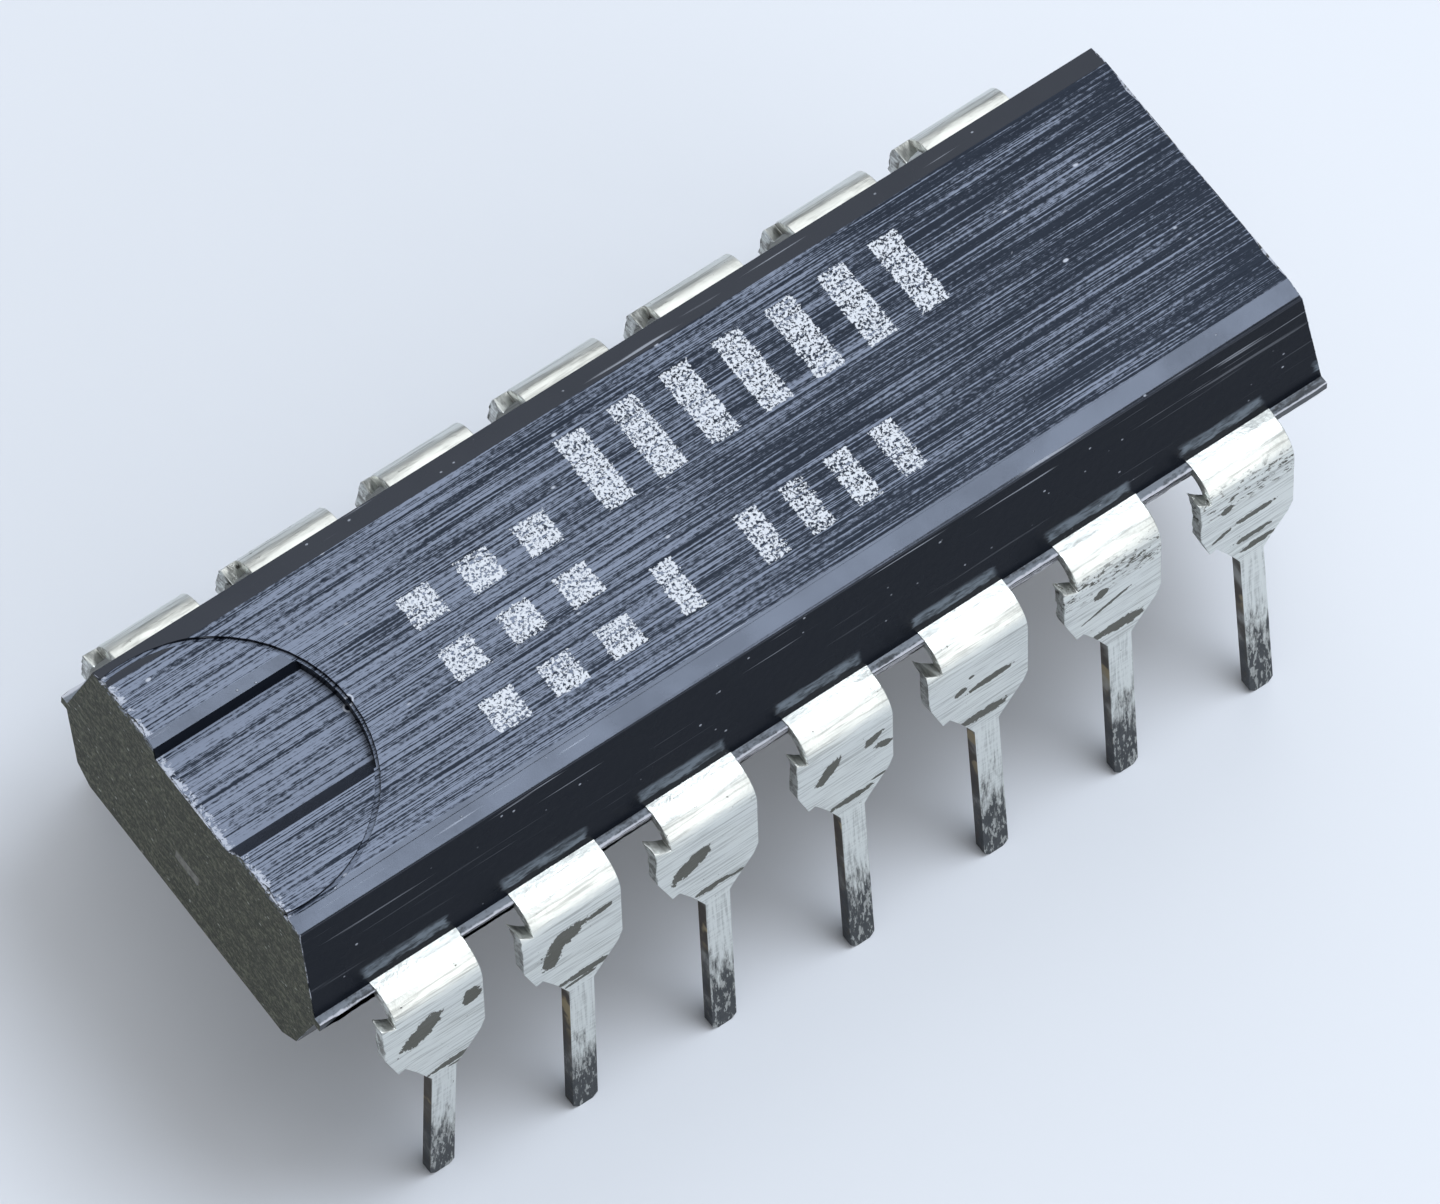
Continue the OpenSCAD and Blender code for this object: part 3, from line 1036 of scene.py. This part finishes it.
@dataclass
class Marking:
    """The print on the top face: plain blocks where such a part carries its marking."""

    proud: float = 0.003
    soft_edge: float = 0.07
    tile: float = 0.66
    tile_pitch: float = 1.06
    tile_centre: tuple[float, float] = (5.7, -0.35)
    rows: tuple[BlockRow, ...] = (
        BlockRow(8.10, 1.11, 0.98, 7, 0.58, 1.5),
        BlockRow(7.95, -1.23, 0.0, 1, 0.46, 1.02),
        BlockRow(9.5, -1.23, 0.85, 4, 0.5, 1.02),
    )
    end_x: float = -9.31

    def _block(self, mesh: bmesh.types.BMesh, x: float, y: float, width: float, height: float) -> None:
        """Adds one printed block.

        Args:
            mesh: The print's mesh.
            x: The block's centre along the package, from its notched end.
            y: The block's centre across the package.
            width: Its size along the package.
            height: Its size across the package.
        """
        made = bmesh.ops.create_cube(mesh, size=1.0)["verts"]
        bmesh.ops.scale(mesh, vec=Vector((width, height, 2 * self.proud)), verts=made)
        bmesh.ops.translate(mesh, vec=Vector((self.end_x + x, y, TOP_Z)), verts=made)
        mesh.normal_update()
        faces = {f for v in made for f in v.link_faces if f.normal.z > 0.5}
        depth = mesh.verts.layers.float["ink_depth"]
        bmesh.ops.inset_region(mesh, faces=list(faces), thickness=self.soft_edge)
        for face in faces:
            for vert in face.verts:
                vert[depth] = 1.0

    def build(self) -> bpy.types.Object:
        """Builds and dresses the print.

        Returns:
            The piece.
        """
        mesh = bmesh.new()
        mesh.verts.layers.float.new("ink_depth")
        for column in range(3):
            for row in range(3):
                x = self.tile_centre[0] + (column - 1) * self.tile_pitch
                y = self.tile_centre[1] + (row - 1) * self.tile_pitch
                self._block(mesh, x, y, self.tile, self.tile)
        for line in self.rows:
            for place in range(line.count):
                self._block(mesh, line.x + line.step * place, line.y, line.width, line.height)
        return finished(mesh, "marking", [GroundResin("marking_ink", inked=True).material()])


@dataclass
class Lead:
    """One bent lead, with its stamped edges rounded and its dam bar stub torn."""

    number: int
    blotches: tuple[Blotch, ...] = ()
    edge_radius: float = 0.022
    half_shoulder: float = 0.79
    shoulder_y: float = 3.5
    tear: float = 0.035
    tear_cuts: int = 5

    @property
    def side(self) -> Side:
        """The row that the lead stands in."""
        return lead_side(self.number)

    @property
    def centre(self) -> float:
        """The lead's centre along the row, in millimetres."""
        return lead_centre(self.number)

    def _tear_stub(self, mesh: bmesh.types.BMesh) -> None:
        """Breaks up the end of the dam bar stub.

        Args:
            mesh: The lead's mesh.
        """
        limit = self.centre - self.half_shoulder - 0.1
        stub = [e for e in mesh.edges if all(v.co.x < limit for v in e.verts)]
        stub = [e for e in stub if abs(e.verts[0].co.y) > self.shoulder_y and e.calc_length() > 0.15]
        bmesh.ops.subdivide_edges(mesh, edges=stub, cuts=self.tear_cuts, use_grid_fill=True)
        for vert in mesh.verts:
            if vert.co.x < limit and abs(vert.co.y) > self.shoulder_y:
                spot = Vector((self.number * 3.1, vert.co.y * 2.2, vert.co.z * 3.6))
                vert.co.x += self.tear * noise.fractal(spot, 0.8, 2.0, 3)

    def build(self) -> bpy.types.Object:
        """Builds and dresses the lead.

        Returns:
            The piece that stands for the solid.
        """
        node = f"pin_{self.number:02d}"
        mesh = opened(node)
        merge_flats(mesh)
        edges = sharp_edges(mesh, 30.0, lambda e: abs(middle(e).y) > 3.3)
        rounded(mesh, edges, self.edge_radius)
        self._tear_stub(mesh)
        flaked = self.number in FLAKED
        tin = WornTin(f"worn_tin_{self.number:02d}", self.centre, self.side, self.blotches, flaked)
        piece = finished(mesh, f"lead_{self.number:02d}", [tin.material()])
        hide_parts(node)
        return piece


@dataclass
class Interior:
    """The pieces sealed in the resin, which keep their solids and take a finish."""

    finishes: dict[str, PlainFinish] = field(
        default_factory=lambda: {
            "die_paddle": PlainFinish("cut_strip", (0.22, 0.215, 0.185), 0.5, 0.55),
            "die_attach": PlainFinish("cured_paste", (0.45, 0.45, 0.42), 0.0, 0.6),
            "silicon_die": PlainFinish("polished_silicon", (0.35, 0.37, 0.42), 0.6, 0.2),
            "bond_wire": PlainFinish("gold_wire", (0.85, 0.68, 0.30), 1.0, 0.25),
        }
    )

    def dress(self) -> None:
        """Gives each sealed solid its finish."""
        made = {key: finish.material() for key, finish in self.finishes.items()}
        for name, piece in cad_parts.items():
            for key, material in made.items():
                if name.startswith(key):
                    piece.data.materials.clear()
                    piece.data.materials.append(material)
                    log.info("%s takes %s", name, material.name)


@dataclass
class Studio:
    """The pale floor, the soft lights and the camera."""

    azimuth: float = -39.681
    elevation: float = 62.629
    roll: float = 4.002
    distance: float = 208.267
    pixels_per_radian: float = 13748.6
    frame_width: float = 1440.0
    sensor: float = 36.0
    aim: tuple[float, float] = (0.320, -0.921)
    floor_tone: Colour = (0.66, 0.69, 0.74)

    def camera(self) -> None:
        """Sets the camera up at the photograph's angle."""
        a, e, r = (math.radians(value) for value in (self.azimuth, self.elevation, self.roll))
        back = Vector((math.sin(a) * math.cos(e), -math.cos(a) * math.cos(e), math.sin(e)))
        level = Vector((math.cos(a), math.sin(a), 0.0))
        rise = back.cross(level)
        right = math.cos(r) * level + math.sin(r) * rise
        up = math.cos(r) * rise - math.sin(r) * level
        spot = Vector((0.0, 0.0, PARTING_Z)) + self.distance * back + self.aim[0] * right + self.aim[1] * up
        data = bpy.data.cameras.new("camera")
        data.sensor_fit = "HORIZONTAL"
        data.sensor_width = self.sensor
        data.lens = self.sensor * self.pixels_per_radian / self.frame_width
        data.clip_start = 0.005
        data.clip_end = 10.0
        camera = bpy.data.objects.new("camera", data)
        turn = Matrix((right, up, back)).transposed().to_4x4()
        camera.matrix_world = Matrix.Translation(spot * MM) @ turn
        bpy.context.scene.collection.objects.link(camera)
        bpy.context.scene.camera = camera

    def _lamp(self, name: str, spot: Vector, size: float, power: float, tint: Colour) -> None:
        """Hangs one soft lamp that points at the part.

        Args:
            name: The lamp's name.
            spot: Its place, in metres.
            size: Its width, in metres.
            power: Its power, in watts.
            tint: Its colour.
        """
        data = bpy.data.lights.new(name, "AREA")
        data.shape = "DISK"
        data.size = size
        data.energy = power
        data.color = tint
        lamp = bpy.data.objects.new(name, data)
        lamp.location = spot
        lamp.rotation_euler = (spot - Vector((0.0, 0.0, 0.005))).to_track_quat("Z", "Y").to_euler()
        bpy.context.scene.collection.objects.link(lamp)

    def light(self) -> None:
        """Hangs the lamps and sets the world's tone."""
        self._lamp("dome", Vector((0.06, -0.135, 0.261)), 0.50, 0.50, (1.0, 1.0, 1.0))
        self._lamp("key", Vector((0.050, -0.021, 0.170)), 0.09, 0.180, (0.86, 0.92, 1.0))
        self._lamp("front", Vector((0.09, -0.33, 0.10)), 0.30, 0.32, (1.0, 1.0, 1.0))
        self._lamp("back", Vector((0.075, 0.19, 0.22)), 0.30, 0.30, (1.0, 1.0, 1.0))
        world = bpy.data.worlds.new("studio")
        world.use_nodes = True
        background = world.node_tree.nodes["Background"]
        background.inputs["Color"].default_value = (0.92, 0.96, 1.0, 1.0)
        background.inputs["Strength"].default_value = 0.26
        bpy.context.scene.world = world
        bpy.context.scene.view_settings.view_transform = "Standard"

    def floor(self) -> None:
        """Lays the floor under the lead tips."""
        mesh = bmesh.new()
        bmesh.ops.create_grid(mesh, x_segments=1, y_segments=1, size=0.5)
        data = bpy.data.meshes.new("floor")
        mesh.to_mesh(data)
        mesh.free()
        floor = bpy.data.objects.new("floor", data)
        bpy.context.scene.collection.objects.link(floor)
        sheet = Sheet("floor_card")
        sheet.set("Base Color", (*self.floor_tone, 1.0))
        sheet.set("Roughness", 0.9)
        sheet.set("Specular IOR Level", 0.1)
        data.materials.append(sheet.material)


FLAKED = (6, 7, 10, 13)
LEAD_PATCHES: dict[int, tuple[Blotch, ...]] = {
    1: (
        Blotch(-0.34, 5.17, 0.42, 0.20, -40.0),
        Blotch(0.58, 5.30, 0.18, 0.18),
        Blotch(0.12, 3.80, 0.42, 0.07, -2.0),
        Blotch(0.30, 3.66, 0.22, 0.035),
    ),
    2: (
        Blotch(-0.26, 5.22, 0.36, 0.20, -30.0),
        Blotch(-0.47, 4.88, 0.30, 0.15, -65.0),
        Blotch(0.42, 5.37, 0.24, 0.07, -8.0),
        Blotch(0.08, 3.92, 0.48, 0.08, 0.0),
        Blotch(0.0, 3.78, 0.32, 0.04, -3.0),
    ),
    3: (
        Blotch(-0.45, 5.02, 0.42, 0.17, -35.0),
        Blotch(-0.09, 3.99, 0.28, 0.07),
        Blotch(0.35, 3.95, 0.14, 0.04),
    ),
    4: (
        Blotch(-0.43, 5.12, 0.30, 0.12, -48.0),
        Blotch(0.42, 5.28, 0.18, 0.09, -30.0),
        Blotch(0.60, 4.97, 0.18, 0.10, 20.0),
        Blotch(-0.05, 3.97, 0.36, 0.08),
        Blotch(0.50, 4.12, 0.12, 0.03),
    ),
    5: (
        Blotch(-0.48, 4.99, 0.12, 0.07, -15.0),
        Blotch(-0.28, 5.25, 0.06, 0.05),
        Blotch(0.05, 4.87, 0.42, 0.08, -2.0),
        Blotch(-0.05, 3.98, 0.44, 0.11),
    ),
    6: (
        Blotch(-0.36, 5.22, 0.13, 0.11),
        Blotch(-0.20, 4.83, 0.45, 0.035, -17.0),
        Blotch(0.05, 4.02, 0.54, 0.12, 4.0),
    ),
    7: (
        Blotch(-0.50, 5.33, 0.11, 0.08, -30.0),
        Blotch(0.02, 4.77, 0.38, 0.07),
        Blotch(0.0, 4.18, 0.36, 0.07),
        Blotch(0.10, 3.87, 0.28, 0.08, -3.0),
        Blotch(-0.60, 4.66, 0.20, 0.05, -20.0),
    ),
    8: (Blotch(0.3, 5.1, 0.2, 0.1, 20.0), Blotch(0.0, 4.0, 0.4, 0.05)),
    9: (Blotch(-0.3, 4.9, 0.25, 0.12, -30.0), Blotch(0.05, 3.95, 0.35, 0.05)),
    10: (Blotch(0.1, 5.2, 0.12, 0.08), Blotch(-0.05, 4.0, 0.4, 0.06)),
    11: (Blotch(-0.4, 5.0, 0.3, 0.15, -40.0), Blotch(0.0, 3.9, 0.3, 0.05)),
    12: (Blotch(0.45, 4.8, 0.1, 0.1), Blotch(0.1, 4.05, 0.4, 0.04)),
    13: (Blotch(-0.2, 5.1, 0.32, 0.12, -25.0), Blotch(0.0, 3.95, 0.42, 0.06)),
    14: (Blotch(0.35, 5.2, 0.16, 0.08), Blotch(-0.1, 4.0, 0.35, 0.05)),
}


def main() -> None:
    """Builds the scene piece by piece."""
    studio = Studio()
    studio.camera()
    studio.light()
    studio.floor()
    log.info("studio is set")
    body = PackageBody().build()
    log.info("%s has %d faces", body.name, len(body.data.polygons))
    marking = Marking().build()
    log.info("%s has %d faces", marking.name, len(marking.data.polygons))
    for number in range(1, 2 * PER_ROW + 1):
        lead = Lead(number, LEAD_PATCHES.get(number, ())).build()
        log.info("%s has %d faces", lead.name, len(lead.data.polygons))
    Interior().dress()


if __name__ == "__main__":
    main()
